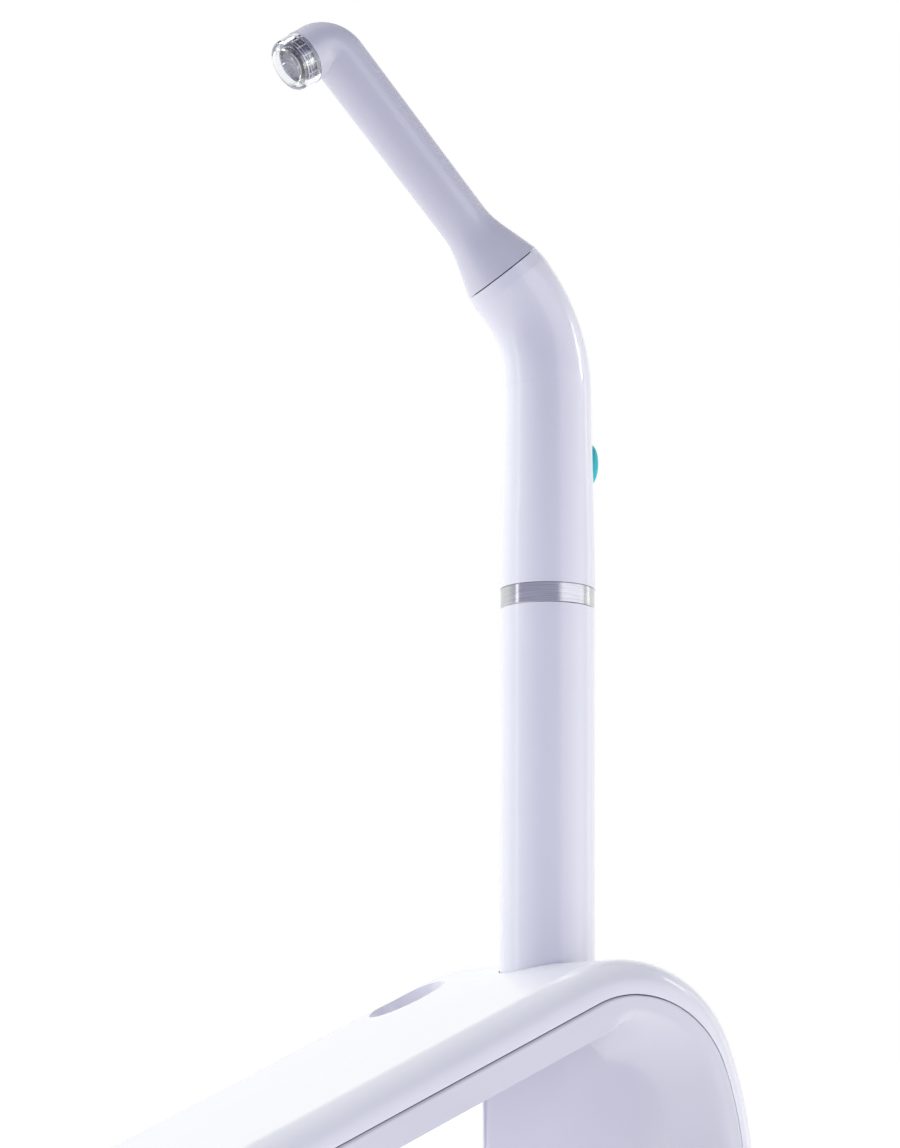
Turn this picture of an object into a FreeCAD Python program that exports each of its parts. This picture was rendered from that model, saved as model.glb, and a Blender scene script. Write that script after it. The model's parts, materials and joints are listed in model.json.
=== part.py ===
"""Dental curing light: an LED wand handpiece standing in its charging base.

Millimetres. The origin is on the table at the centre of the base, +Z is up, the lens looks towards -X.
Every function named after a sub-part returns that sub-part's shape.
"""
import FreeCAD, Part
import math
import os

V = FreeCAD.Vector

# ---- charging base ----
FLOOR = 1.2                 # underside of the base, above the table on its feet
CREST_Z = 56.0              # top of the hump
HALF_WIDTH = 48.0
SHOULDER = 8.0              # rounding along both sides of the top
RAMP = math.radians(26.1)   # slope of the ramp in front of the handle
CREST_FRONT_R = 32.4
CREST_BACK_R = 31.0
BACK_TURN = math.radians(68.0)
BACK_R = 95.0
SEAM_DROP = 8.55            # seam between cover and lower shell, below the crest
SEAM_FRONT_R = CREST_FRONT_R - SEAM_DROP
SEAM_BACK_R = 26.2
SEAM_TURN = math.radians(70.0)
SEAM_FALL_R = 85.0
SEAM_GAP = 0.3
BAND = 7.0                  # height of the rim under the seam
WALL = 2.2
NOSE_REACH = 108.0          # from the handle's axis to the front tip
NOSE_CORNER = 14.0
PEDESTAL_TIP = (-18.5, 0.0)     # corners of the pedestal's plan, from the handle's axis
PEDESTAL_FLANK = (-7.4, 24.2)
PEDESTAL_SIDE = (9.0, 40.0)
PEDESTAL_ROUNDING = {PEDESTAL_TIP: 9.0, PEDESTAL_FLANK: 5.0, PEDESTAL_SIDE: 16.0}

# ---- handle and cradle ----
HANDLE_FOOT = 16.2
HANDLE_R_LOW = 12.35
HANDLE_R_TOP = 12.7
RING_Z = 150.0
RING_H = 5.4
RING_R = 12.65
CRADLE_R = 12.75
CRADLE_WALL = 1.9
CRADLE_TOP = 49.6
CRADLE_FLOOR = 16.0
BLOCK_H = 4.0
BOARD_Z = 8.0
BOARD_T = 1.6
PIN_R = 0.9
PIN_OFFSET = 6.2
TUBE_BORE = 10.6
CELL_R = 9.0
CELL_H = 50.0
PLUG_R = 9.4
PLUG_TOP = 168.0

# ---- handpiece ----
NECK_TILT = 42.6            # turn of the housing at its bend, degrees
NECK_REACH = 14.0           # seam centre in front of the handle's axis
NECK_Z = 243.05
BEND_R = 44.0
SHELL_WALL = 1.8
BUTTON_Z = 191.5
BUTTON_H = 12.4
BUTTON_W = 9.4
BUTTON_FACE = 14.05         # dome's highest point from the handle's axis

# ---- wand and head ----
WAND_FOOT_R = 11.4
WAND_R = 6.95
HEAD_R = 7.3
FLARE = 13.8
TUBE_END = 72.4
ELBOW_R = 5.6
ELBOW = 85.5
STUB = 3.6
CAP_FRONT = 9.9
CAP_R = 7.05


def arc(a, b, c):
    return Part.Arc(V(*a), V(*b), V(*c)).toShape()


def line(a, b):
    return Part.LineSegment(V(*a), V(*b)).toShape()


def cyl(r, z0, z1, x=0.0, y=0.0):
    return Part.makeCylinder(r, z1 - z0, V(x, y, z0))


def tube(r_out, r_in, z0, z1, x=0.0, y=0.0):
    return cyl(r_out, z0, z1, x, y).cut(cyl(r_in, z0 - 1, z1 + 1, x, y))


def box(x0, x1, y0, y1, z0, z1):
    return Part.makeBox(x1 - x0, y1 - y0, z1 - z0, V(x0, y0, z0))


def group(shapes):
    return Part.makeCompound(shapes)


def revolve(points):
    """Turn a closed (radius, height) outline about the Z axis."""
    corners = [V(r, 0, z) for r, z in points]
    face = Part.Face(Part.makePolygon(corners + corners[:1]))
    return face.revolve(V(0, 0, 0), V(0, 0, 1), 360)


def fuse(shapes):
    return shapes[0].fuse(shapes[1:]).removeSplitter()


# ---------------------------------------------------------------- base outline

def hump(top, front_r, back_r, turn, fall_r, grow=0.0):
    """Corner points of the base's side outline, each (x, z), with x from the handle's axis."""
    front_r, back_r, fall_r, top = front_r + grow, back_r + grow, fall_r + grow, top + grow
    start = (-front_r * math.sin(RAMP), top - front_r * (1 - math.cos(RAMP)))
    start_mid = (-front_r * math.sin(RAMP / 2), top - front_r * (1 - math.cos(RAMP / 2)))
    foot = (start[0] - (start[1] - FLOOR) / math.tan(RAMP), FLOOR)
    crest = (0.0, top)
    half = (back_r * math.sin(turn / 2), top - back_r * (1 - math.cos(turn / 2)))
    full = (back_r * math.sin(turn), top - back_r * (1 - math.cos(turn)))
    centre = (full[0] - fall_r * math.sin(turn), full[1] - fall_r * math.cos(turn))
    last = math.acos((FLOOR - centre[1]) / fall_r)
    mean = (turn + last) / 2
    fall_mid = (centre[0] + fall_r * math.sin(mean), centre[1] + fall_r * math.cos(mean))
    end = (centre[0] + fall_r * math.sin(last), FLOOR)
    return [foot, start, start_mid, crest, half, full, fall_mid, end]


OUTER = (CREST_Z, CREST_FRONT_R, CREST_BACK_R, BACK_TURN, BACK_R)
SEAM = (CREST_Z - SEAM_DROP, SEAM_FRONT_R, SEAM_BACK_R, SEAM_TURN, SEAM_FALL_R)
BACK_REACH = hump(*OUTER)[-1][0]
HX = (NOSE_REACH - BACK_REACH) / 2      # the handle's axis in the base's frame
NOSE_X = HX - NOSE_REACH


def hump_prism(outline, half_width, grow=0.0, rounding=0.0):
    """Side outline pushed out to both sides, with its top side edges rounded."""
    foot, start, start_mid, crest, half, full, fall_mid, end = [
        (HX + x, -half_width, z) for x, z in hump(*outline, grow=grow)]
    edges = [line(foot, start), arc(start, start_mid, crest), arc(crest, half, full),
             arc(full, fall_mid, end), line(end, foot)]
    solid = Part.Face(Part.Wire(edges)).extrude(V(0, 2 * half_width, 0))
    if rounding:
        solid = solid.makeFillet(rounding, side_edges(solid, half_width))
    return solid


def side_edges(solid, half_width):
    """The edges of the top surface that lie in the two side planes."""
    found = []
    for edge in solid.Edges:
        mid = edge.valueAt((edge.FirstParameter + edge.LastParameter) / 2)
        if abs(abs(mid.y) - half_width) < 1e-6 and mid.z > FLOOR + 0.01:
            found.append(edge)
    return found


def nose_prism():
    """Everything behind the rounded front tip, wide enough to take in the whole base."""
    foot = HX + hump(*OUTER)[0][0]
    r = (NOSE_X - foot) * math.tan(RAMP) / (1 + 1 / math.cos(RAMP) - math.tan(RAMP))
    xc = NOSE_X + r
    zc = FLOOR + r
    top = (xc - r * math.sin(RAMP), zc + r * math.cos(RAMP))
    far = HX + BACK_REACH + 1
    high = top[1] + (far - top[0]) * math.tan(RAMP)
    y = -HALF_WIDTH - 1
    edges = [arc((xc, y, FLOOR), (NOSE_X, y, zc), (top[0], y, top[1])),
             line((top[0], y, top[1]), (far, y, high)),
             line((far, y, high), (far, y, FLOOR)),
             line((far, y, FLOOR), (xc, y, FLOOR))]
    return Part.Face(Part.Wire(edges)).extrude(V(0, -2 * y, 0))


def plan_prism():
    """Plan outline of the base with its two front corners rounded."""
    solid = box(NOSE_X, HX + BACK_REACH + 1, -HALF_WIDTH, HALF_WIDTH, 0, CREST_Z + 1)
    corners = []
    for edge in solid.Edges:
        ends = [v.Point for v in edge.Vertexes]
        if all(abs(p.x - NOSE_X) < 1e-6 for p in ends) and abs(ends[0].z - ends[1].z) > 1:
            corners.append(edge)
    return solid.makeFillet(NOSE_CORNER, corners)


def envelope():
    solid = hump_prism(OUTER, HALF_WIDTH, rounding=SHOULDER)
    return solid.common(nose_prism()).common(plan_prism())


def pedestal_plan(inset, z0, z1):
    """The pedestal: a blunt wedge that widens to two straight sides."""
    corners = [PEDESTAL_TIP, PEDESTAL_FLANK, PEDESTAL_SIDE, (BACK_REACH + 2, PEDESTAL_SIDE[1])]
    outline = [V(HX + x, y, z0) for x, y in corners] + [V(HX + x, -y, z0) for x, y in corners[:0:-1]]
    face = Part.Face(Part.makePolygon(outline + outline[:1]))
    if inset:
        face = face.makeOffset2D(-inset)
    solid = face.extrude(V(0, 0, z1 - z0))
    for (x, y), rounding in PEDESTAL_ROUNDING.items():
        solid = solid.makeFillet(rounding - inset, upright_edges(solid, V(HX + x, y, 0), 2 * inset + 0.1))
    return solid


def upright_edges(solid, corner, reach):
    """The upright edges within reach of a corner of the plan, on either side of the middle."""
    found = []
    for edge in solid.Edges:
        ends = [v.Point for v in edge.Vertexes]
        if len(ends) == 2 and abs(ends[0].z - ends[1].z) > 0.5:
            if math.hypot(ends[0].x - corner.x, abs(ends[0].y) - corner.y) < reach:
                found.append(edge)
    return found


# ---------------------------------------------------------------- base parts

INLET_Z = 14.0
INLET_R = 4.2
INLET_LENGTH = 9.5
SCREW_R = 1.3
SCREW_HEAD_R = 2.8
SCREW_TOP = 12.0
BOSSES = [(-3.0, 20.0), (-3.0, -20.0), (14.0, 31.0), (14.0, -31.0)]
POSTS = [(-5.0, 12.0), (-5.0, -12.0), (21.0, 12.0), (21.0, -12.0)]
METER = (-25.5, 33.0)       # centre of the light meter's well, from the handle's axis
METER_LONG = 10.0
METER_WIDE = 8.0
METER_DEPTH = 3.0


def ramp_z(x):
    """Height of the ramp's top surface, x from the handle's axis."""
    foot = hump(*OUTER)[0]
    return FLOOR + (x - foot[0]) * math.tan(RAMP)


def on_ramp(shape):
    """Place a shape modelled about the Z axis square to the ramp, at the meter's well."""
    out = shape.copy()
    at = V(HX + METER[0], METER[1], ramp_z(METER[0]))
    out.Placement = FreeCAD.Placement(at, FreeCAD.Rotation(V(0, 1, 0), -math.degrees(RAMP)))
    return out


def oval(long_r, wide_r, z0, z1):
    face = Part.Face(Part.Wire(Part.Ellipse(V(0, 0, z0), long_r, wide_r).toShape()))
    return face.extrude(V(0, 0, z1 - z0))


def meter_well():
    """Oval well with sloping sides."""
    rims = []
    for grow, z in ((1.6, 0.6), (0.0, -METER_DEPTH)):
        rims.append(Part.Wire(Part.Ellipse(V(0, 0, z), METER_LONG + grow, METER_WIDE + grow).toShape()))
    return on_ramp(Part.makeLoft(rims, True))


def inlet_bore(r):
    return Part.makeCylinder(r, 20, V(HX + 20, 0, INLET_Z), V(1, 0, 0))


def base_top_cover():
    cavity = hump_prism(OUTER, HALF_WIDTH - WALL, grow=-WALL, rounding=SHOULDER - WALL)
    cavity = cavity.common(box(NOSE_X + 14, HX + BACK_REACH, -HALF_WIDTH, HALF_WIDTH, 0, CREST_Z))
    seam = hump_prism(SEAM, HALF_WIDTH + 1)
    shell = envelope().cut(seam).cut(cavity)
    cup = on_ramp(oval(METER_LONG + 3.0, METER_WIDE + 3.0, -METER_DEPTH - 1.4, -0.5)).common(cavity)
    shell = fuse([shell, cup]).cut(meter_well())
    shell = shell.cut(on_ramp(oval(4.2, 4.2, -METER_DEPTH - 2, 0)))
    shell = shell.cut(cyl(CRADLE_R, FLOOR, CREST_Z + 1, HX))
    return shell.cut(inlet_bore(INLET_R + 0.1))


def base_lower_shell():
    seam = hump_prism(SEAM, HALF_WIDTH, grow=-SEAM_GAP)
    under = hump_prism(SEAM, HALF_WIDTH + 1, grow=-BAND)
    pedestal = pedestal_plan(0, FLOOR, CREST_Z).common(under)
    body = fuse([seam.cut(under), pedestal]).common(envelope())
    inset = WALL + 0.3
    room = pedestal_plan(inset, FLOOR - 1, CREST_Z).common(hump_prism(SEAM, HALF_WIDTH, grow=-inset))
    bosses = [cyl(3.2, FLOOR + WALL, CREST_Z, HX + x, y).common(seam) for x, y in BOSSES]
    body = fuse([body.cut(room)] + bosses)
    for x, y in BOSSES:
        body = body.cut(cyl(SCREW_R + 0.2, FLOOR, SCREW_TOP + 2, HX + x, y))
    body = body.cut(cyl(CRADLE_R + CRADLE_WALL, 10, CREST_Z, HX))
    return body.cut(inlet_bore(INLET_R + 0.1))


def base_bottom_plate():
    plate = pedestal_plan(WALL + 0.5, FLOOR, FLOOR + WALL)
    plate = plate.common(hump_prism(SEAM, HALF_WIDTH, grow=-WALL - 0.5))
    posts = [cyl(2.4, FLOOR + WALL, BOARD_Z, HX + x, y) for x, y in POSTS]
    plate = fuse([plate] + posts)
    for x, y in POSTS:
        plate = plate.cut(cyl(0.9, FLOOR + WALL, BOARD_Z, HX + x, y))
    for x, y in BOSSES:
        hole = cyl(SCREW_R + 0.3, 0, 10, HX + x, y)
        plate = plate.cut(hole).cut(cyl(SCREW_HEAD_R + 0.2, 0, FLOOR + 1.2, HX + x, y))
    return plate


def ballast_plate():
    z = FLOOR + WALL
    plate = box(HX - 1.5, HX + 17.5, -35.5, 35.5, z, z + 3).common(pedestal_plan(WALL + 1.0, z, z + 3))
    for x, y in BOSSES:
        plate = plate.cut(cyl(3.6, 0, 10, HX + x, y))
    return plate


def rubber_feet():
    spots = [(HX - 6, 0), (HX + 24, 28), (HX + 24, -28), (NOSE_X + 14, 32), (NOSE_X + 14, -32)]
    return group([cyl(4.5, 0, FLOOR, x, y) for x, y in spots])


def base_screws():
    screws = []
    for x, y in BOSSES:
        screw = revolve([
            (0, SCREW_TOP), (SCREW_R, SCREW_TOP), (SCREW_R, FLOOR + 1.2), (SCREW_HEAD_R, FLOOR + 1.2),
            (SCREW_HEAD_R, FLOOR + 0.3), (1.0, FLOOR + 0.3), (1.0, FLOOR + 0.7), (0, FLOOR + 0.7)])
        screws.append(screw.translated(V(HX + x, y, 0)))
    return group(screws)


def cradle_sleeve():
    sleeve = tube(CRADLE_R + CRADLE_WALL, CRADLE_R, CRADLE_FLOOR, CRADLE_TOP, HX)
    lead_in = Part.makeCone(CRADLE_R, CRADLE_R + 1, 1.0, V(HX, 0, CRADLE_TOP - 1.0))
    return sleeve.cut(lead_in)


def pin_places():
    return {"centre": HX, "outer": HX + PIN_OFFSET}


def contact_block():
    block = cyl(CRADLE_R + CRADLE_WALL, CRADLE_FLOOR - BLOCK_H, CRADLE_FLOOR, HX)
    for x in pin_places().values():
        block = block.cut(cyl(PIN_R + 0.05, 10, 20, x))
        block = block.cut(cyl(1.6, 10, CRADLE_FLOOR - 1.0, x))
    return block


def charger_board():
    board = box(HX - 8, HX + 24, -15, 15, BOARD_Z, BOARD_Z + BOARD_T)
    for x, y in POSTS:
        board = board.cut(cyl(1.2, 0, 12, HX + x, y))
    return board


def charger_chips():
    z = BOARD_Z + BOARD_T
    return group([box(HX - 2, HX + 5, -13, -8.5, z, z + 1.4), box(HX + 9, HX + 14, 8, 13, z, z + 1.2),
                  cyl(2.5, z, z + 5, HX + 19, -7.4), box(HX + 8, HX + 13, -13, -8, z, z + 2.2)])


def board_screws():
    screws = []
    for x, y in POSTS:
        z = BOARD_Z + BOARD_T
        screw = revolve([
            (0, 5), (0.85, 5), (0.85, z), (2.0, z), (2.0, z + 0.9), (0.7, z + 1.3), (0, z + 1.3)])
        screws.append(screw.translated(V(HX + x, y, 0)))
    return group(screws)


def dc_inlet():
    """Barrel socket with its centre pin, facing the back."""
    x0 = HX + 21
    x1 = HX + BACK_REACH - 1.0
    axis = V(1, 0, 0)
    body = Part.makeCylinder(INLET_R, x1 - x0, V(x0, 0, INLET_Z), axis)
    body = body.cut(Part.makeCylinder(INLET_R - 1.3, 20, V(x1 - INLET_LENGTH, 0, INLET_Z), axis))
    pin = Part.makeCylinder(1.0, INLET_LENGTH - 1.5, V(x1 - INLET_LENGTH, 0, INLET_Z), axis)
    seat = box(x0, x0 + 3, -3, 3, BOARD_Z + BOARD_T, INLET_Z)
    return fuse([body, pin, seat])


def radiometer_lens():
    return on_ramp(cyl(4.1, -METER_DEPTH - 1.2, -METER_DEPTH + 0.2))


def radiometer_sensor():
    return on_ramp(box(-1.8, 1.8, -1.8, 1.8, -METER_DEPTH - 2.2, -METER_DEPTH - 1.3))


def radiometer_board():
    return on_ramp(box(-9, 9, -7, 7, -METER_DEPTH - 3.4, -METER_DEPTH - 2.2))


def coil_spring(r, wire, z0, z1, turns, x=0.0):
    """Compression spring: a round wire wound on a helix."""
    rise = z1 - z0 - 2 * wire
    helix = Part.makeHelix(rise / turns, rise, r)
    section = Part.Wire(Part.Circle(V(r, 0, 0), V(0, 1, 0), wire).toShape())
    spring = Part.Wire(helix).makePipeShell([section], True, True)
    return spring.translated(V(x, 0, z0 + wire))


def charge_pin(x):
    """Contact pin with a collar that keeps it in the block."""
    foot = CRADLE_FLOOR - 2.4
    top = HANDLE_FOOT - 0.05
    pin = revolve([(0, foot), (1.45, foot), (1.45, CRADLE_FLOOR - 1.05), (PIN_R, CRADLE_FLOOR - 1.05),
                   (PIN_R, top - 0.3), (PIN_R - 0.3, top), (0, top)])
    return pin.translated(V(x, 0, 0))


def charge_spring(x):
    return coil_spring(1.1, 0.2, BOARD_Z + BOARD_T, CRADLE_FLOOR - 2.4, 5, x)


# ---------------------------------------------------------------- battery handle

def battery_tube():
    outer = revolve([(0, HANDLE_FOOT + 3), (HANDLE_R_LOW, HANDLE_FOOT + 3),
                     (HANDLE_R_TOP, RING_Z - 0.1), (0, RING_Z - 0.1)])
    return outer.cut(cyl(TUBE_BORE, 0, RING_Z)).translated(V(HX, 0, 0))


def battery_end_cap():
    z = HANDLE_FOOT
    cap = revolve([(0, z), (HANDLE_R_LOW - 1.6, z), (HANDLE_R_LOW - 0.4, z + 0.6), (HANDLE_R_LOW, z + 1.8),
                   (HANDLE_R_LOW, z + 2.9), (TUBE_BORE - 0.1, z + 2.9), (TUBE_BORE - 0.1, z + 5), (0, z + 5)])
    cap = cap.cut(cyl(2.5, 0, z + 1.2)).cut(tube(7.6, 4.8, 0, z + 1.2))
    return cap.cut(cyl(8.4, z + 3, z + 9)).translated(V(HX, 0, 0))


def charge_contacts():
    return group([cyl(2.4, HANDLE_FOOT + 0.1, HANDLE_FOOT + 1.2, HX),
                  tube(7.5, 4.9, HANDLE_FOOT + 0.1, HANDLE_FOOT + 1.2, HX)])


CELL_Z = HANDLE_FOOT + 7.0


def battery_spring():
    return coil_spring(5.5, 0.4, HANDLE_FOOT + 3, CELL_Z, 2, HX)


def battery_cell(z):
    """Cylindrical cell with a rolled top edge and a raised positive button."""
    top = z + CELL_H
    cell = revolve([
        (0, z), (CELL_R - 0.4, z), (CELL_R, z + 0.4), (CELL_R, top - 2.4), (CELL_R - 0.35, top - 2.0),
        (CELL_R, top - 1.6), (CELL_R - 0.6, top - 1.0), (4.0, top - 1.0), (3.4, top), (0, top)])
    return cell.translated(V(HX, 0, 0))


def cell_spacer():
    z = CELL_Z + CELL_H
    return tube(CELL_R + 1.2, 5.0, z - 0.8, z, HX)


def battery_board():
    z = CELL_Z + 2 * CELL_H
    return cyl(TUBE_BORE - 0.4, z, z + 1.6, HX)


def battery_plug():
    """Collar in the top of the tube whose spigot enters the handpiece."""
    z = CELL_Z + 2 * CELL_H + 1.6
    plug = revolve([(0, z), (TUBE_BORE, z), (TUBE_BORE, RING_Z - 0.1), (PLUG_R, RING_Z - 0.1), (PLUG_R, 160),
                    (PLUG_R - 1.1, 160), (PLUG_R - 1.1, 161.9), (PLUG_R, 161.9), (PLUG_R, PLUG_TOP - 0.8),
                    (PLUG_R - 0.8, PLUG_TOP), (0, PLUG_TOP)])
    plug = plug.cut(cyl(7.0, z - 1, PLUG_TOP - 3))
    plug = plug.cut(cyl(1.5, 0, 200)).cut(tube(5.6, 4.4, PLUG_TOP - 1.5, 200))
    return plug.translated(V(HX, 0, 0))


def plug_contacts():
    return group([cyl(1.45, PLUG_TOP - 6, PLUG_TOP, HX), tube(5.55, 4.45, PLUG_TOP - 1.5, PLUG_TOP, HX)])


def o_ring():
    return Part.makeTorus(PLUG_R - 0.45, 0.6, V(HX, 0, 160.95))


# ---------------------------------------------------------------- handpiece

NECK = V(HX - NECK_REACH, 0, NECK_Z)
NECK_PLACE = FreeCAD.Placement(NECK, FreeCAD.Rotation(V(0, 1, 0), -NECK_TILT))


def on_neck(shape):
    """Place a shape modelled about +Z on the wand's axis, with z = 0 at the neck seam."""
    out = shape.copy()
    out.Placement = NECK_PLACE.multiply(out.Placement)
    return out


BEND_TANGENT = BEND_R * math.tan(math.radians(NECK_TILT / 2))
BEND_Z = NECK_Z - NECK_REACH / math.tan(math.radians(NECK_TILT)) - BEND_TANGENT
BARREL = [(12.9, RING_Z + RING_H), (12.8, 169.0), (12.5, 183.0), (12.2, 197.0), (12.0, BEND_Z)]
BEND = [(0.0, 12.0, 0.0), (0.25, 11.85, 0.1), (0.5, 11.5, 0.4), (0.75, 11.55, 0.25), (1.0, 11.75, 0.0)]


def bend_ring(part, r, push):
    """Round section of the bend: part of the full turn, radius, and shift away from the bend's centre."""
    turn = NECK_TILT * part
    reach = BEND_R + push
    wire = Part.Wire(Part.Circle(V(0, 0, 0), V(0, 0, 1), r).toShape())
    angle = math.radians(turn)
    at = V(HX - BEND_R + reach * math.cos(angle), 0, BEND_Z + reach * math.sin(angle))
    wire.Placement = FreeCAD.Placement(at, FreeCAD.Rotation(V(0, 1, 0), -turn))
    return wire


def housing_solid(inset, extra=0.0):
    """The curved housing: a tapered barrel, the bend and a short straight neck."""
    curve = Part.BSplineCurve()
    curve.interpolate([V(r - inset, 0, z) for r, z in BARREL])
    low = BARREL[0][1] - extra
    barrel = Part.Wire([curve.toShape(), line(V(BARREL[-1][0] - inset, 0, BEND_Z), V(0, 0, BEND_Z)),
                        line(V(0, 0, BEND_Z), V(0, 0, BARREL[0][1])),
                        line(V(0, 0, BARREL[0][1]), V(BARREL[0][0] - inset, 0, BARREL[0][1]))])
    solids = [Part.Face(barrel).revolve(V(0, 0, 0), V(0, 0, 1), 360).translated(V(HX, 0, 0))]
    solids.append(Part.makeLoft([bend_ring(part, r - inset, push) for part, r, push in BEND], True, False))
    straight = NECK_REACH / math.sin(math.radians(NECK_TILT)) - BEND_TANGENT
    cone = Part.makeCone(BEND[-1][1] - inset, WAND_FOOT_R + 0.05 - inset, straight - 0.1, V(0, 0, -straight))
    solids.append(on_neck(cone))
    if extra:
        solids.append(cyl(BARREL[0][0] - inset, low, BARREL[0][1], HX))
        solids.append(on_neck(cyl(WAND_FOOT_R + 0.05 - inset, -0.1, extra)))
    return solids[0].fuse(solids[1:])


def button_column(grow, x0, x1):
    """Oval column along +X through the button's place."""
    face = Part.Face(Part.Wire(Part.Ellipse(V(0, 0, 0), BUTTON_H / 2 + grow, BUTTON_W / 2 + grow).toShape()))
    column = face.extrude(V(0, 0, x1 - x0))
    column.Placement = FreeCAD.Placement(V(HX + x0, 0, BUTTON_Z), FreeCAD.Rotation(V(0, 1, 0), 90))
    return column


def handpiece_shell():
    shell = housing_solid(0).cut(housing_solid(SHELL_WALL, 2.0))
    shell = shell.cut(on_neck(cyl(9.6, -12, 1)))
    shell = shell.cut(button_column(0.2, 5, 20))
    return shell.cut(indicator_slot(0.1))


def indicator_slot(grow):
    """Upright slot with round ends above the button, through the back of the housing."""
    x0, x1, z0, z1 = HX + 9.0, HX + 11.95, 204.0, 209.0
    r = 1.0 + grow
    ends = [Part.makeCylinder(r, x1 - x0, V(x0, 0, z), V(1, 0, 0)) for z in (z0, z1)]
    return fuse(ends + [box(x0, x1, -r, r, z0, z1)])


def steel_ring():
    ring = tube(RING_R, PLUG_R + 0.4, RING_Z, RING_Z + RING_H, HX)
    outer = [e for e in ring.Edges if abs(e.BoundBox.XLength - 2 * RING_R) < 1e-3]
    return ring.makeChamfer(0.2, outer)


def battery_socket():
    z = RING_Z + RING_H
    socket = revolve([(PLUG_R + 0.3, z), (10.9, z), (10.7, 174), (0, 174), (0, 170), (PLUG_R + 0.3, 170)])
    socket = socket.cut(cyl(1.2, 160, 180)).cut(tube(5.3, 4.7, 160, 171.5))
    return socket.translated(V(HX, 0, 0))


def socket_contacts():
    return group([cyl(1.15, PLUG_TOP + 0.1, 176, HX), tube(5.25, 4.75, PLUG_TOP + 0.1, 171.5, HX)])


def control_board():
    return box(HX + 3.6, HX + 4.8, -7.5, 7.5, 176.5, 208)


def board_chips():
    x = HX + 3.6
    return group([box(x - 1.2, x, -3.5, 3.5, 188, 195), box(x - 1.0, x, -6, -2, 178.5, 183),
                  box(x - 2.2, x, 1, 6, 178.5, 184), box(x - 1.0, x, -2.5, 2.5, 200, 203)])


def tact_switch():
    x = HX + 4.8
    body = box(x, x + 2.2, -3, 3, BUTTON_Z - 3, BUTTON_Z + 3)
    stem = Part.makeCylinder(1.6, 1.2, V(x + 2.2, 0, BUTTON_Z), V(1, 0, 0))
    return fuse([body, stem])


def buzzer():
    return Part.makeCylinder(3.2, 2.4, V(HX + 1.2, 0, 206), V(-1, 0, 0)).fuse(
        box(HX + 1.2, HX + 3.6, -1.5, 1.5, 204.5, 207.5))


def indicator_lens():
    shape = indicator_slot(0.0)
    return shape.common(cyl(11.9, 200, 215, HX))


def neck_bearing():
    return on_neck(tube(9.5, 8.55, -10, -0.6))


# ---------------------------------------------------------------- button

def activation_button():
    """Domed oval push button."""
    column = button_column(0.0, 10.2, BUTTON_FACE)
    face_x = HX + BUTTON_FACE
    rim = [e for e in column.Edges if abs(e.BoundBox.XMin - face_x) < 0.01]
    return column.makeFillet(2.2, rim)


def button_plunger():
    return Part.makeCylinder(1.5, 1.4, V(HX + 8.8, 0, BUTTON_Z), V(1, 0, 0))


# ---------------------------------------------------------------- light head

WIRE_Y = 4.1                # leads beside the heat pipe


def bent_rod(r_start, r_end, z0, past=0.0):
    """Rod up the wand's axis, round the elbow and a little past its end."""
    height = TUBE_END - z0
    if r_start == r_end:
        straight = cyl(r_end, z0, TUBE_END)
    else:
        straight = Part.makeCone(r_start, r_end, height, V(0, 0, z0))
    disc = Part.Face(Part.Wire(Part.Circle(V(0, 0, TUBE_END), V(0, 0, 1), r_end).toShape()))
    disc = disc.common(box(-ELBOW_R, 20, -20, 20, TUBE_END - 1, TUBE_END + 1))
    pieces = [straight, disc.revolve(V(-ELBOW_R, 0, TUBE_END), V(0, -1, 0), ELBOW)]
    if past:
        pieces.append(in_head(cyl(r_end, 0, past)))
    return fuse(pieces)


def in_head(shape):
    """Move a shape modelled about +Z to the lens axis, z = 0 at the elbow's end, in the wand's frame."""
    turn = math.radians(ELBOW)
    at = V(-ELBOW_R + ELBOW_R * math.cos(turn), 0, TUBE_END + ELBOW_R * math.sin(turn))
    out = shape.copy()
    out.Placement = FreeCAD.Placement(at, FreeCAD.Rotation(V(0, 1, 0), -ELBOW)).multiply(out.Placement)
    return out


def on_head(shape):
    return on_neck(in_head(shape))


def flare(inset):
    """Cone from the neck down to the slim tube, with a soft run-out."""
    foot = 0.2
    start = V(WAND_FOOT_R - inset, 0, foot)
    slope = (WAND_FOOT_R - WAND_R) / FLARE
    near = V(start.x - slope * (FLARE - 3.5), 0, foot + FLARE - 3.5)
    end = V(WAND_R - inset, 0, foot + FLARE + 3.5)
    knee = V(start.x - slope * FLARE, 0, foot + FLARE)
    blend = Part.BezierCurve()
    blend.setPoles([near, knee, end])
    wire = Part.Wire([line(V(0, 0, foot), start), line(start, near), blend.toShape(),
                      line(end, V(0, 0, end.z)), line(V(0, 0, end.z), V(0, 0, foot))])
    return Part.Face(wire).revolve(V(0, 0, 0), V(0, 0, 1), 360)


def wand_shell():
    run_out = 0.2 + FLARE + 3.5
    outer = fuse([flare(0), bent_rod(WAND_R, HEAD_R, run_out, STUB)])
    bore = bent_rod(WAND_R - 1.4, HEAD_R - 1.4, run_out, STUB + 1)
    inner = fuse([flare(1.4).common(cyl(20, 0.2, run_out)), bore])
    return on_neck(outer.cut(inner))


def wand_plug():
    """Spigot that turns in the neck bearing and holds the heat pipe."""
    plug = fuse([cyl(8.5, -12, 0.2), cyl(9.5, 0.2, 1.4), cyl(5.2, 1.4, 10)]).cut(cyl(2.6, -20, 20))
    for y in (WIRE_Y, -WIRE_Y):
        plug = plug.cut(cyl(0.7, -20, 20, 0, y))
    return on_neck(plug)


def heat_pipe():
    rod = bent_rod(2.2, 2.2, -14)
    return on_neck(rod.cut(in_head(cyl(10, -1.4, 5))))


def heat_slug():
    return on_head(cyl(5.2, -1.4, 0.0))


def led_board():
    return on_head(cyl(5.4, 0.0, 1.0))


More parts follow.
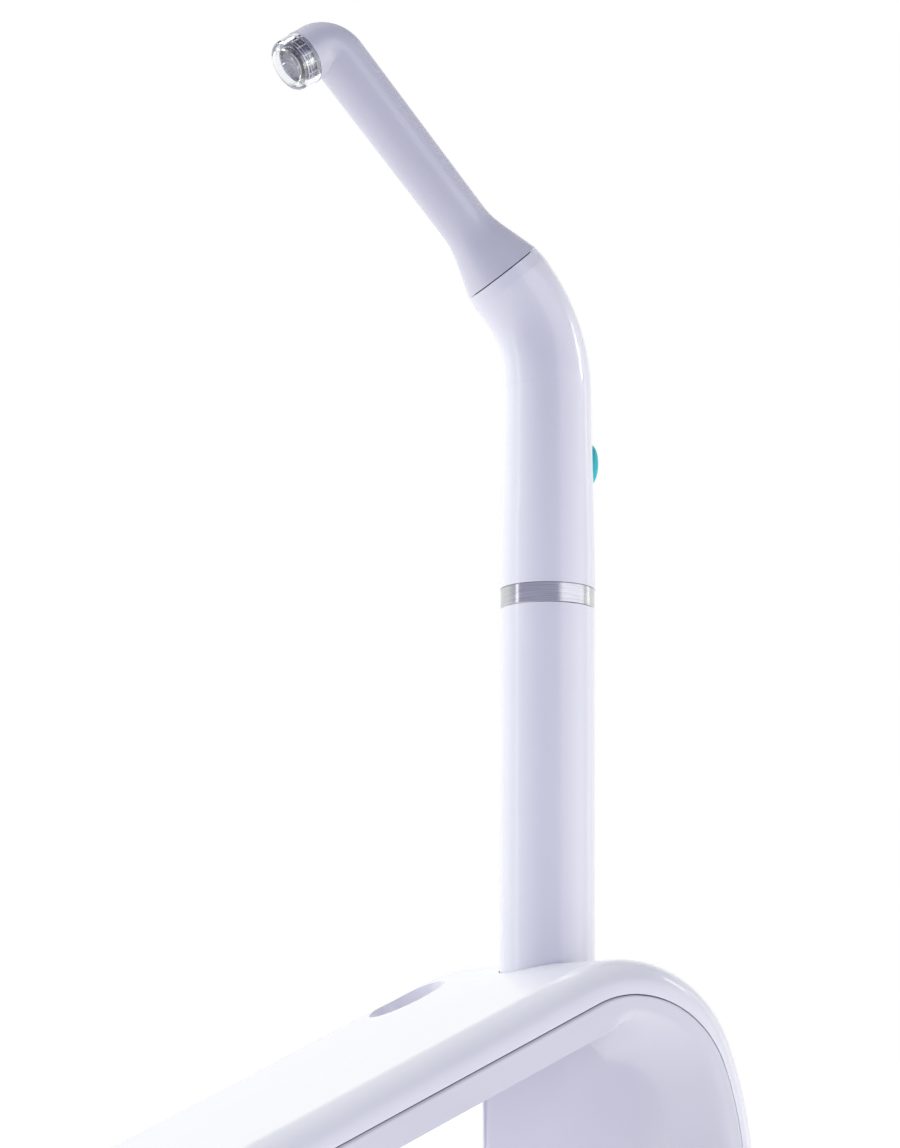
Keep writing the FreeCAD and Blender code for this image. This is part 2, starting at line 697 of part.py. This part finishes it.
def led_emitter():
    base = box(-1.6, 1.6, -1.6, 1.6, 1.0, 1.5)
    dies = [box(x, x + 1.0, y, y + 1.0, 1.5, 1.7) for x in (-1.15, 0.15) for y in (-1.15, 0.15)]
    return on_head(fuse([base] + dies))


def reflector():
    """Polished cup that opens towards the lens."""
    profile = [(2.5, 1.8), (3.6, 3.6), (4.3, 5.6), (4.6, 7.8), (4.9, 7.8), (4.9, 1.0), (2.5, 1.0)]
    return on_head(revolve(profile))


def cap_ring():
    """Metal ring with raised bands and ribs that the clear cap grips."""
    ring = tube(5.5, 4.95, 1.0, 7.6)
    bands = [tube(5.8, 5.4, z, z + 0.5) for z in (3.7, 5.2, 6.8)]
    ribs = []
    for i in range(8):
        rib = box(5.3, 5.65, -0.25, 0.25, 3.9, 7.0)
        rib.rotate(V(0, 0, 0), V(0, 0, 1), 22.5 + i * 45)
        ribs.append(rib)
    return on_head(fuse([ring] + bands + ribs))


def led_window():
    return on_head(cyl(4.55, 7.8, 8.3))


def led_wires():
    """Two insulated leads up the wand beside the heat pipe."""
    return on_neck(group([cyl(0.5, -14, TUBE_END - 4, 0, y) for y in (WIRE_Y, -WIRE_Y)]))


def lens_cap():
    """Clear protective cap with a rolled front lip."""
    z0, lip = STUB + 0.1, 1.6
    front = CAP_FRONT
    turned = lip * 0.2929
    outline = [line(V(5.88, 0, z0), V(CAP_R + 0.05, 0, z0)),
               line(V(CAP_R + 0.05, 0, z0), V(CAP_R, 0, front - lip)),
               arc((CAP_R, 0, front - lip), (CAP_R - turned, 0, front - turned), (CAP_R - lip, 0, front)),
               line(V(CAP_R - lip, 0, front), V(4.9, 0, front - 0.3)),
               line(V(4.9, 0, front - 0.3), V(4.9, 0, front - 1.2)),
               line(V(4.9, 0, front - 1.2), V(5.88, 0, front - 1.6)),
               line(V(5.88, 0, front - 1.6), V(5.88, 0, z0))]
    return on_head(Part.Face(Part.Wire(outline)).revolve(V(0, 0, 0), V(0, 0, 1), 360))


# ---------------------------------------------------------------- output

def all_parts():
    pins = pin_places()
    return {
        "base_top_cover": base_top_cover(),
        "base_lower_shell": base_lower_shell(),
        "base_bottom_plate": base_bottom_plate(),
        "ballast_plate": ballast_plate(),
        "rubber_feet": rubber_feet(),
        "base_screws": base_screws(),
        "cradle_sleeve": cradle_sleeve(),
        "contact_block": contact_block(),
        "charger_board": charger_board(),
        "charger_chips": charger_chips(),
        "board_screws": board_screws(),
        "dc_inlet": dc_inlet(),
        "radiometer_lens": radiometer_lens(),
        "radiometer_sensor": radiometer_sensor(),
        "radiometer_board": radiometer_board(),
        "charge_pin_centre": charge_pin(pins["centre"]),
        "charge_pin_outer": charge_pin(pins["outer"]),
        "charge_spring_centre": charge_spring(pins["centre"]),
        "charge_spring_outer": charge_spring(pins["outer"]),
        "battery_tube": battery_tube(),
        "battery_end_cap": battery_end_cap(),
        "charge_contacts": charge_contacts(),
        "battery_spring": battery_spring(),
        "battery_cell_lower": battery_cell(CELL_Z),
        "cell_spacer": cell_spacer(),
        "battery_cell_upper": battery_cell(CELL_Z + CELL_H),
        "battery_board": battery_board(),
        "battery_plug": battery_plug(),
        "plug_contacts": plug_contacts(),
        "o_ring": o_ring(),
        "steel_ring": steel_ring(),
        "handpiece_shell": handpiece_shell(),
        "battery_socket": battery_socket(),
        "socket_contacts": socket_contacts(),
        "control_board": control_board(),
        "board_chips": board_chips(),
        "tact_switch": tact_switch(),
        "buzzer": buzzer(),
        "indicator_lens": indicator_lens(),
        "neck_bearing": neck_bearing(),
        "activation_button": activation_button(),
        "button_plunger": button_plunger(),
        "wand_shell": wand_shell(),
        "wand_plug": wand_plug(),
        "heat_pipe": heat_pipe(),
        "heat_slug": heat_slug(),
        "led_board": led_board(),
        "led_emitter": led_emitter(),
        "reflector": reflector(),
        "cap_ring": cap_ring(),
        "led_window": led_window(),
        "led_wires": led_wires(),
        "lens_cap": lens_cap(),
    }


def main():
    os.makedirs("parts", exist_ok=True)
    for name, shape in all_parts().items():
        shape.exportStep(f"parts/{name}.step")
        b = shape.BoundBox
        print(f"{name}: solids {len(shape.Solids)}, valid {shape.isValid()}, volume {shape.Volume:.0f}, "
              f"x {b.XMin:.1f} {b.XMax:.1f}, y {b.YMin:.1f} {b.YMax:.1f}, z {b.ZMin:.1f} {b.ZMax:.1f}")


main()
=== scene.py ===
"""Looks for the dental curing light: camera, light, floor, materials and fine pieces."""

import json
import math

import bmesh
import bpy
from mathutils import Matrix, Vector


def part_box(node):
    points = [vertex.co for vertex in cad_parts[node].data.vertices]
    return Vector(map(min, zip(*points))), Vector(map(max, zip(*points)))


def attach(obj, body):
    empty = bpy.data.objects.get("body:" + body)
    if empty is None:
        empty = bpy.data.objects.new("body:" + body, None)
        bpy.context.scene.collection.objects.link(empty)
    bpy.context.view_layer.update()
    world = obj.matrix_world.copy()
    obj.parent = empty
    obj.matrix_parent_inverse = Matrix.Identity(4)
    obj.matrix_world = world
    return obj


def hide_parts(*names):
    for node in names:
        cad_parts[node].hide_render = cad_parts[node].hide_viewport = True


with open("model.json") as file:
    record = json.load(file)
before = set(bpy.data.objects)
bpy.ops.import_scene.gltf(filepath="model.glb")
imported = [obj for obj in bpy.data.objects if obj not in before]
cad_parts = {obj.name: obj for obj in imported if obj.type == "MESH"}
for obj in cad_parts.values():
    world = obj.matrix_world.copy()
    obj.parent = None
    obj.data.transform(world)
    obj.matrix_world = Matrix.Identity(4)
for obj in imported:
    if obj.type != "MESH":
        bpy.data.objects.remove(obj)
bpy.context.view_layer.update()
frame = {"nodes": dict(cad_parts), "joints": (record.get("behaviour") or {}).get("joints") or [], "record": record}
nodes = frame["nodes"]
scene = bpy.context.scene

# ---- places taken from the frame ----
tube_low, tube_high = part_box("battery_tube")
HANDLE_X = (tube_low.x + tube_high.x) / 2
BASE_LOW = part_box("base_top_cover")[0]

# ---- camera ----
EYE_HEIGHT = 0.03265
EYE_DISTANCE = 0.6165
EYE_SHIFT = 0.02631
YAW = math.radians(24.573)
PITCH = math.radians(11.644)
ROLL = math.radians(0.502)
LENS = 73.15


def make_camera():
    data = bpy.data.cameras.new("camera")
    data.lens = LENS
    data.sensor_width = 36.0
    data.clip_start = 0.01
    data.clip_end = 50.0
    camera = bpy.data.objects.new("camera", data)
    scene.collection.objects.link(camera)
    forward = Vector((math.sin(YAW) * math.cos(PITCH), math.cos(YAW) * math.cos(PITCH), math.sin(PITCH)))
    level = Vector((math.cos(YAW), -math.sin(YAW), 0.0))
    upright = level.cross(forward)
    right = level * math.cos(ROLL) + upright * math.sin(ROLL)
    up = upright * math.cos(ROLL) - level * math.sin(ROLL)
    at = Vector((HANDLE_X - EYE_DISTANCE * math.sin(YAW) - EYE_SHIFT * math.cos(YAW),
                 -EYE_DISTANCE * math.cos(YAW) + EYE_SHIFT * math.sin(YAW), EYE_HEIGHT))
    camera.matrix_world = Matrix.Translation(at) @ Matrix((right, up, -forward)).transposed().to_4x4()
    scene.camera = camera


# ---- node helpers ----

def new_material(name):
    material = bpy.data.materials.new(name)
    material.use_nodes = True
    tree = material.node_tree
    shader = tree.nodes["Principled BSDF"]
    return material, tree, shader


def add(tree, kind, **settings):
    node = tree.nodes.new(kind)
    for key, value in settings.items():
        setattr(node, key, value)
    return node


def noise(tree, scale, detail=3.0, stretch=(1.0, 1.0, 1.0)):
    """Noise in object space, in metres; stretch squeezes it along an axis."""
    place = add(tree, "ShaderNodeTexCoord")
    mapping = add(tree, "ShaderNodeMapping")
    mapping.inputs["Scale"].default_value = stretch
    texture = add(tree, "ShaderNodeTexNoise")
    texture.inputs["Scale"].default_value = scale
    texture.inputs["Detail"].default_value = detail
    tree.links.new(place.outputs["Object"], mapping.inputs["Vector"])
    tree.links.new(mapping.outputs["Vector"], texture.inputs["Vector"])
    return texture


def ramp(tree, source, low, high, start=0.35, stop=0.65):
    """Colour ramp from low to high."""
    node = add(tree, "ShaderNodeValToRGB")
    node.color_ramp.elements[0].position = start
    node.color_ramp.elements[1].position = stop
    node.color_ramp.elements[0].color = (*low, 1.0)
    node.color_ramp.elements[1].color = (*high, 1.0)
    tree.links.new(source, node.inputs["Fac"])
    return node.outputs["Color"]


def spread(tree, source, low, high):
    """Map a 0 to 1 value onto low to high."""
    node = add(tree, "ShaderNodeMapRange")
    node.inputs["To Min"].default_value = low
    node.inputs["To Max"].default_value = high
    tree.links.new(source, node.inputs["Value"])
    return node.outputs["Result"]


def bump(tree, shader, source, height):
    node = add(tree, "ShaderNodeBump")
    node.inputs["Distance"].default_value = height
    node.inputs["Strength"].default_value = 1.0
    tree.links.new(source, node.inputs["Height"])
    tree.links.new(node.outputs["Normal"], shader.inputs["Normal"])


def shade(colour, factor):
    return tuple(min(1.0, c * factor) for c in colour)


# ---- materials ----

def plastic(name, colour, roughness=0.2, coat=0.0, grain=0.0, grain_scale=2500.0, tone=0.03):
    """Moulded plastic: a faint cloudiness in its colour, uneven gloss and an optional spark-eroded grain."""
    material, tree, shader = new_material(name)
    cloud = noise(tree, 35.0)
    colours = ramp(tree, cloud.outputs["Fac"], shade(colour, 1.0 - tone), shade(colour, 1.0 + tone))
    tree.links.new(colours, shader.inputs["Base Color"])
    fine = noise(tree, grain_scale, 4.0)
    gloss = spread(tree, fine.outputs["Fac"], roughness * 0.85, roughness * 1.15)
    tree.links.new(gloss, shader.inputs["Roughness"])
    shader.inputs["Coat Weight"].default_value = coat
    shader.inputs["Coat Roughness"].default_value = 0.04
    if grain:
        bump(tree, shader, fine.outputs["Fac"], grain)
    return material


def metal(name, colour, roughness=0.25, brush=None):
    """Metal with fine lines; brush is the stretch of the lines along each axis."""
    material, tree, shader = new_material(name)
    shader.inputs["Metallic"].default_value = 1.0
    lines = noise(tree, 900.0, 3.0, brush or (1.0, 1.0, 1.0))
    colours = ramp(tree, lines.outputs["Fac"], shade(colour, 0.86), shade(colour, 1.1))
    tree.links.new(colours, shader.inputs["Base Color"])
    gloss = spread(tree, lines.outputs["Fac"], roughness * 0.7, roughness * 1.3)
    tree.links.new(gloss, shader.inputs["Roughness"])
    bump(tree, shader, lines.outputs["Fac"], 0.00002)
    return material


def clear_plastic(name, tint, roughness=0.03):
    material, tree, shader = new_material(name)
    shader.inputs["Transmission Weight"].default_value = 1.0
    shader.inputs["IOR"].default_value = 1.18
    shader.inputs["Coat Weight"].default_value = 1.0
    shader.inputs["Coat Roughness"].default_value = 0.02
    haze = noise(tree, 180.0)
    tree.links.new(ramp(tree, haze.outputs["Fac"], shade(tint, 0.98), tint), shader.inputs["Base Color"])
    gloss = spread(tree, haze.outputs["Fac"], roughness * 0.5, roughness * 1.5)
    tree.links.new(gloss, shader.inputs["Roughness"])
    return material


def make_materials():
    white = (0.775, 0.765, 0.875)
    made = {
        "white_gloss": plastic("white_gloss", white, 0.22, 0.5, 0.0, 1800.0, 0.008),
        "white_base": plastic("white_base", (0.79, 0.78, 0.88), 0.24, 0.5, 0.000002, 1800.0, 0.008),
        "inner_plastic": plastic("inner_plastic", (0.06, 0.06, 0.07), 0.5, 0.0, 0.00002),
        "bearing": plastic("bearing", (0.72, 0.72, 0.69), 0.4, 0.0, 0.00001),
        "teal": plastic("teal", (0.0, 0.46, 0.53), 0.4, 0.0, 0.00001, 3000.0),
        "chip": plastic("chip", (0.02, 0.02, 0.022), 0.45, 0.0, 0.00002),
        "pcb": plastic("pcb", (0.01, 0.12, 0.04), 0.35, 0.3, 0.00002, 900.0, 0.12),
        "cell": plastic("cell", (0.03, 0.16, 0.42), 0.3, 0.3),
        "rubber": plastic("rubber", (0.03, 0.03, 0.033), 0.7, 0.0, 0.00004),
        "wire": plastic("wire", (0.45, 0.02, 0.02), 0.5),
        "die": plastic("die", (0.22, 0.11, 0.05), 0.3, 0.6, 0.0, 900.0, 0.15),
        "smoked": plastic("smoked", (0.30, 0.31, 0.36), 0.12, 0.8),
        "steel": metal("steel", (0.60, 0.60, 0.61), 0.17, (0.15, 0.15, 9.0)),
        "ribbed_metal": metal("ribbed_metal", (0.34, 0.34, 0.38), 0.28),
        # near-white ribs on the dark metal ring: painted highlight
        "rib_painted_highlight": plastic("rib_painted_highlight", (0.85, 0.85, 0.88), 0.3, 0.3),
        "screw_steel": metal("screw_steel", (0.58, 0.58, 0.60), 0.3),
        "ballast_steel": metal("ballast_steel", (0.12, 0.12, 0.13), 0.5),
        "mirror": metal("mirror", (0.55, 0.55, 0.62), 0.08),
        "copper": metal("copper", (0.72, 0.36, 0.20), 0.3),
        "gold": metal("gold", (0.90, 0.66, 0.28), 0.2),
        "clear": clear_plastic("clear", (0.97, 0.98, 1.0)),
        # greyer copy of the base white for the shell under the seam: painted shade
        "white_shell_painted_shade": plastic("white_shell_painted_shade", (0.69, 0.68, 0.78), 0.24, 0.5, 0.0, 1800.0, 0.008),
        # greyer copy of the white for the wand: painted shade
        "white_wand_painted_shade": plastic("white_wand_painted_shade", (0.64, 0.63, 0.745), 0.22, 0.5, 0.0, 1800.0, 0.008),
    }
    return made


def dress_nodes(materials):
    """Every CAD node takes its slot's material, but the wand takes a greyer copy of its white, painted shade."""
    slots = {row["node"]: row["material_slot"] for row in frame["record"]["subparts"]}
    for name, node in nodes.items():
        node.data.materials.clear()
        node.data.materials.append(materials[slots[name]])
    # the wand wears the greyer white, painted shade
    nodes["wand_shell"].data.materials[0] = materials["white_wand_painted_shade"]


# ---- floor and light ----

FRONT = Vector((-math.sin(YAW), -math.cos(YAW), 0.0))
SIDE = Vector((math.cos(YAW), -math.sin(YAW), 0.0))
UP = Vector((0.0, 0.0, 1.0))
FLOOR_DARK = (0.25, 0.25, 0.25)
FLOOR_LIGHT = (0.28, 0.28, 0.28)
# the floor's own glow, painted light: near white behind the object, dim lavender in front
FLOOR_BACK_GLOW = (0.92, 0.92, 0.92)
FLOOR_FRONT_GLOW = (0.28, 0.28, 0.38)
FLOOR_FADE = 0.7            # metres in front of the origin where the glow is dimmest
FLOOR_REACH = 20.0


def make_floor():
    """Pale floor that glows by itself, painted light: nearly white behind the object and dimmer in front of it."""
    material, tree, shader = new_material("floor")
    mottling = noise(tree, 6.0)
    pale = ramp(tree, mottling.outputs["Fac"], FLOOR_DARK, FLOOR_LIGHT)
    tree.links.new(pale, shader.inputs["Base Color"])
    shader.inputs["Roughness"].default_value = 0.9
    shader.inputs["Specular IOR Level"].default_value = 0.1
    place = add(tree, "ShaderNodeTexCoord")
    reach = add(tree, "ShaderNodeVectorMath", operation="DOT_PRODUCT")
    reach.inputs[1].default_value = FRONT
    tree.links.new(place.outputs["Object"], reach.inputs[0])
    fade = add(tree, "ShaderNodeMapRange", interpolation_type="SMOOTHSTEP")
    fade.inputs["From Min"].default_value = 0.0
    fade.inputs["From Max"].default_value = FLOOR_FADE
    tree.links.new(reach.outputs["Value"], fade.inputs["Value"])
    # painted light: the floor's emission, fading from the back glow to the dim front glow
    glow = ramp(tree, fade.outputs["Result"], FLOOR_BACK_GLOW, FLOOR_FRONT_GLOW, 0.0, 1.0)
    tree.links.new(glow, shader.inputs["Emission Color"])
    shader.inputs["Emission Strength"].default_value = 1.0
    mesh = bpy.data.meshes.new("floor")
    shape = bmesh.new()
    bmesh.ops.create_grid(shape, x_segments=4, y_segments=4, size=FLOOR_REACH)
    shape.to_mesh(mesh)
    shape.free()
    floor = bpy.data.objects.new("floor", mesh)
    floor.data.materials.append(material)
    scene.collection.objects.link(floor)


FRONT_COLOUR = (0.46, 0.47, 0.62)
BACK_COLOUR = (1.0, 1.0, 1.0)
ZENITH_COLOUR = (0.20, 0.20, 0.26)


def facing(tree, direction, start, stop):
    """0 to 1 as the view of the surround turns towards a direction."""
    place = add(tree, "ShaderNodeTexCoord")
    dot = add(tree, "ShaderNodeVectorMath", operation="DOT_PRODUCT")
    dot.inputs[1].default_value = direction
    tree.links.new(place.outputs["Generated"], dot.inputs[0])
    fade = add(tree, "ShaderNodeMapRange", interpolation_type="SMOOTHSTEP")
    fade.inputs["From Min"].default_value = start
    fade.inputs["From Max"].default_value = stop
    tree.links.new(dot.outputs["Value"], fade.inputs["Value"])
    return fade.outputs["Result"]


def make_world():
    """White surround that turns dim and lavender towards the front and overhead."""
    world = bpy.data.worlds.new("studio")
    scene.world = world
    world.use_nodes = True
    tree = world.node_tree
    background = tree.nodes["Background"]
    level = ramp(tree, facing(tree, FRONT, -0.55, 0.25), BACK_COLOUR, FRONT_COLOUR, 0.0, 1.0)
    mix = add(tree, "ShaderNodeMix", data_type="RGBA")
    tree.links.new(facing(tree, UP, 0.45, 0.85), mix.inputs["Factor"])
    tree.links.new(level, mix.inputs["A"])
    mix.inputs["B"].default_value = (*ZENITH_COLOUR, 1.0)
    tree.links.new(mix.outputs["Result"], background.inputs["Color"])


def area_light(name, at, towards, size, power):
    data = bpy.data.lights.new(name, "AREA")
    data.shape = "RECTANGLE"
    data.size, data.size_y = size
    data.energy = power
    lamp = bpy.data.objects.new(name, data)
    scene.collection.objects.link(lamp)
    lamp.location = at
    lamp.rotation_mode = "QUATERNION"
    lamp.rotation_quaternion = (Vector(towards) - Vector(at)).to_track_quat("-Z", "Y")
    return lamp


def lamp_at(name, turn, distance, height, aim_height, size, level, colour=(1.0, 1.0, 1.0)):
    """Lamp placed by its turn from the camera's side, in degrees to the right; level is its radiance."""
    side = SIDE * math.sin(math.radians(turn)) + FRONT * math.cos(math.radians(turn))
    axis = Vector((HANDLE_X, 0.0, 0.0))
    power = level * math.pi * size[0] * size[1]
    lamp = area_light(name, axis + side * distance + UP * height, axis + UP * aim_height, size, power)
    lamp.data.color = colour
    return lamp


def make_lights():
    lamp_at("key", -88.0, 0.77, 1.08, 0.16, (0.5, 0.5), 13.5, (0.95, 1.0, 0.78))
    fill = lamp_at("fill", 76.0, 1.2, 0.16, 0.16, (0.5, 0.7), 4.8, (0.97, 1.0, 0.75))
    fill.visible_glossy = False
    glints = [lamp_at("streak", 100.0, 0.5, 0.43, 0.1, (0.02, 0.12), 25.0),
              lamp_at("left_strip", -82.0, 1.2, 0.41, 0.16, (0.12, 0.9), 1.8),
              lamp_at("right_strip", 116.0, 1.2, 0.41, 0.16, (0.07, 0.9), 2.2),
              lamp_at("right_panel", 63.0, 1.2, 0.41, 0.16, (1.6, 0.9), 0.85)]
    lamp_at("top", -140.0, 0.8, 1.3, 0.08, (0.5, 0.5), 4.5).visible_glossy = False
    for lamp in glints:
        lamp.visible_diffuse = False


# ---- lower shell of the base ----
MM = 0.001
SHELL_LOW, SHELL_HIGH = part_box("base_lower_shell")
RAMP = math.radians(26.1)
FRONT_R = 23.55 * MM        # the seam's side outline: ramp, front arc, back arc, fall
BACK_R = 25.9 * MM
BACK_TURN = math.radians(70.0)
FALL_R = 84.7 * MM
BAND = 7.0 * MM             # rim under the seam, beside the ramp
RIM = 3.0 * MM              # rim under the seam, over the hump
LEDGE_FOOT = 8.2 * MM
DISH = 16.0 * MM            # depth below the seam where the dish meets the pedestal's wall
NOSE_X = BASE_LOW.x - HANDLE_X
NOSE_CORNER = 14.0 * MM
PLAN = [(-7.4, -24.2), (-18.5, 0.0), (-7.4, 24.2), (9.0, 40.0), (60.0, 40.0)]
PLAN_ROUNDING = [9.0, 5.0, 16.0]
SHELL_WALL = 1.6 * MM


def rounded_plan():
    """Half outline of the pedestal, seen from above, as x and half width."""
    points = []
    for before, corner, after, r in zip(PLAN, PLAN[1:], PLAN[2:], PLAN_ROUNDING):
        corner = Vector(corner)
        back = (Vector(before) - corner).normalized()
        ahead = (Vector(after) - corner).normalized()
        half = back.angle(ahead) / 2
        centre = corner + (back + ahead).normalized() * r / math.sin(half)
        start = corner + back * r / math.tan(half) - centre
        end = corner + ahead * r / math.tan(half) - centre
        for k in range(17):
            arm = start.slerp(end, k / 16)
            points.append(centre + arm.normalized() * r)
    kept = sorted((q.x * MM, q.y * MM) for q in points if q.y >= -1e-9)
    return kept + [(PLAN[-1][0] * MM, PLAN[-1][1] * MM)]


PLAN_HALF = rounded_plan()


def half_width(x):
    """Half width of the pedestal at x from the handle's axis; none in front of it."""
    if x <= PLAN_HALF[0][0]:
        return 0.0
    for (xa, ya), (xb, yb) in zip(PLAN_HALF, PLAN_HALF[1:]):
        if x <= xb:
            return ya + (yb - ya) * (x - xa) / max(xb - xa, 1e-9)
    return PLAN_HALF[-1][1]


def rim_half_width(x):
    """Half width of the base at x: its two front corners are rounded."""
    reach = NOSE_X + NOSE_CORNER - x
    if reach <= 0:
        return SHELL_HIGH.y
    return SHELL_HIGH.y - NOSE_CORNER + math.sqrt(max(NOSE_CORNER ** 2 - reach ** 2, 0.0))


def seam_stations():
    """Points along the seam: x, z, inward direction, and how far the dish is formed there."""
    top = SHELL_HIGH.z
    floor = SHELL_LOW.z
    start = Vector((-FRONT_R * math.sin(RAMP), top - FRONT_R * (1 - math.cos(RAMP))))
    slope = Vector((math.cos(RAMP), math.sin(RAMP)))
    inward = Vector((math.sin(RAMP), -math.cos(RAMP)))
    length = (start.y - floor) / math.sin(RAMP)
    tip = PLAN_HALF[0][0]
    along = (tip - LEDGE_FOOT * inward.x - start.x) / slope.x
    marks = {-length * (1 - k / 60) for k in range(60)} | {0.0}
    marks |= {min(along + 12 * MM * (k / 24) ** 2, -0.1 * MM) for k in range(25)}
    found = []
    for mark in sorted(marks):
        at = start + slope * mark
        found.append((at, inward, 0.0))
    for k in range(1, 17):
        turn = RAMP * (k / 16 - 1)
        share = k / 16
        found.append((Vector((FRONT_R * math.sin(turn), top - FRONT_R * (1 - math.cos(turn)))),
                      Vector((-math.sin(turn), -math.cos(turn))), share * share * (3 - 2 * share)))
    for k in range(1, 37):
        turn = BACK_TURN * k / 36
        found.append((Vector((BACK_R * math.sin(turn), top - BACK_R * (1 - math.cos(turn)))),
                      Vector((-math.sin(turn), -math.cos(turn))), 1.0))
    full = found[-1][0]
    centre = full - FALL_R * Vector((math.sin(BACK_TURN), math.cos(BACK_TURN)))
    last = math.acos((floor - centre.y) / FALL_R)
    for k in range(1, 31):
        turn = BACK_TURN + (last - BACK_TURN) * k / 30
        found.append((centre + FALL_R * Vector((math.sin(turn), math.cos(turn))),
                      Vector((-math.sin(turn), -math.cos(turn))), 1.0))
    return found


def rim_section(dish):
    """Depth below the seam and share of the overhang, from the seam inwards.

    It is a ledge beside the ramp and a dish over the hump."""
    ledge = [(BAND * k / 8, 1.0) for k in range(8)]
    ledge += [(BAND - 0.12 * MM, 1.0), (BAND, 0.985)]
    ledge += [(BAND, 0.985 - 0.955 * k / 14) for k in range(1, 15)]
    ledge += [(BAND + 0.3 * MM, 0.008), (LEDGE_FOOT, 0.0)]
    count = len(ledge)
    flat = 5
    bowl = [(RIM * k / flat, 1.0) for k in range(flat)]
    for k in range(count - flat):
        share = k / (count - flat - 1)
        bowl.append((RIM + (DISH - RIM) * share, 1.0 - share * share * (3 - 2 * share)))
    return [(a + (c - a) * dish, b + (d - b) * dish) for (a, b), (c, d) in zip(ledge, bowl)]


def make_lower_shell(material):
    """The shell under the seam: flat rim beside the ramp, soft dish over the hump, pedestal below."""
    floor = SHELL_LOW.z
    shape = bmesh.new()
    drops = 10
    for side in (-1, 1):
        columns = []
        for at, inward, dish in seam_stations():
            room = (at.y - floor) / max(-inward.y, 1e-6)
            column = []
            for depth, share in rim_section(dish):
                q = at + inward * min(depth, room)
                wall = half_width(q.x)
                edge = rim_half_width(q.x)
                column.append((q.x, wall + (edge - wall) * share, max(q.y, floor)))
            x, y, z = column[-1]
            foot = x > PLAN_HALF[0][0] - 0.001 * MM
            for k in range(1, drops + 1):
                column.append((x, y, z + (floor - z) * k / drops) if foot else (x, y, z))
            columns.append([shape.verts.new((HANDLE_X + x, side * y, z)) for x, y, z in column])
        for left, right in zip(columns, columns[1:]):
            for k in range(len(left) - 1):
                ring = [left[k], left[k + 1], right[k + 1], right[k]]
                if side > 0:
                    ring.reverse()
                shape.faces.new(ring)
    bmesh.ops.remove_doubles(shape, verts=shape.verts, dist=0.002 * MM)
    bmesh.ops.dissolve_degenerate(shape, dist=0.002 * MM, edges=shape.edges)
    mesh = bpy.data.meshes.new("base_lower_shell_moulding")
    shape.to_mesh(mesh)
    shape.free()
    shell = bpy.data.objects.new("base_lower_shell_moulding", mesh)
    scene.collection.objects.link(shell)
    wall = shell.modifiers.new("wall", "SOLIDIFY")
    wall.thickness = SHELL_WALL
    wall.offset = -1.0
    mesh.materials.append(material)
    mesh.shade_smooth()
    mesh.set_sharp_from_angle(angle=math.radians(35.0))
    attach(shell, "base")
    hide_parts("base_lower_shell")


# ---- rib grid of the lens ring ----
CAP_JOINT = next(row for row in frame["joints"] if row["name"] == "lens_cap_pull")
CAP_AXIS = Vector(CAP_JOINT["axis"]).normalized()
RIB_R = 5.84 * MM            # outside of the bars
RIB_DEPTH = 0.24 * MM
RIB_HALF_ANGLE = 0.028
RIB_COUNT = 14
HOOP_R = RIB_R - 0.02 * MM
HOOP_HALF = 0.11
HOOP_STEPS = 72
HOOPS = (3.9, 6.1, 7.05)     # along the lens axis, from the elbow's end
WINDOW_MIDDLE = 8.05         # height of the glass window's middle on the same axis


def make_rib_grid(material):
    """Raised hoops and bars over the dark ring that shows through the clear cap, coloured near white as a painted
    highlight.
    """
    low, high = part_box("led_window")
    seat = (low + high) / 2 - CAP_AXIS * WINDOW_MIDDLE * MM
    turn = UP.rotation_difference(CAP_AXIS).to_matrix().to_4x4()
    place = Matrix.Translation(seat) @ turn
    shape = bmesh.new()

    def bar(angles, z0, z1, r0, r1):
        """Curved bar between two angles, two heights and two radii."""
        rings = []
        for angle in angles:
            c, s = math.cos(angle), math.sin(angle)
            corners = [(r0, z0), (r1, z0), (r1, z1), (r0, z1)]
            rings.append([shape.verts.new(place @ Vector((r * c, r * s, z))) for r, z in corners])
        for a, b in zip(rings, rings[1:]):
            for k in range(4):
                shape.faces.new([a[k], a[(k + 1) % 4], b[(k + 1) % 4], b[k]])
        shape.faces.new(rings[0][::-1])
        shape.faces.new(rings[-1])

    inner = RIB_R - RIB_DEPTH
    step = math.tau / HOOP_STEPS
    for z in HOOPS:
        for k in range(HOOP_STEPS):
            start = math.tau * k / HOOP_STEPS
            bar([start, start + step], (z - HOOP_HALF) * MM, (z + HOOP_HALF) * MM, inner, HOOP_R)
    for k in range(RIB_COUNT):
        middle = math.tau * (k + 0.3) / RIB_COUNT
        turns = [middle - RIB_HALF_ANGLE, middle, middle + RIB_HALF_ANGLE]
        bar(turns, HOOPS[0] * MM, HOOPS[-1] * MM, inner, RIB_R)
    bmesh.ops.remove_doubles(shape, verts=shape.verts, dist=0.001 * MM)
    mesh = bpy.data.meshes.new("cap_ring_ribs")
    shape.to_mesh(mesh)
    shape.free()
    mesh.materials.append(material)
    ribs = bpy.data.objects.new("cap_ring_ribs", mesh)
    scene.collection.objects.link(ribs)
    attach(ribs, "light_head")


# ---- scene ----

scene.view_settings.view_transform = "Standard"
make_camera()
make_floor()
make_world()
make_lights()
materials = make_materials()
dress_nodes(materials)
# the shell under the seam wears the greyer white, painted shade
make_lower_shell(materials["white_shell_painted_shade"])
# the ribs wear a near-white painted highlight
make_rib_grid(materials["rib_painted_highlight"])
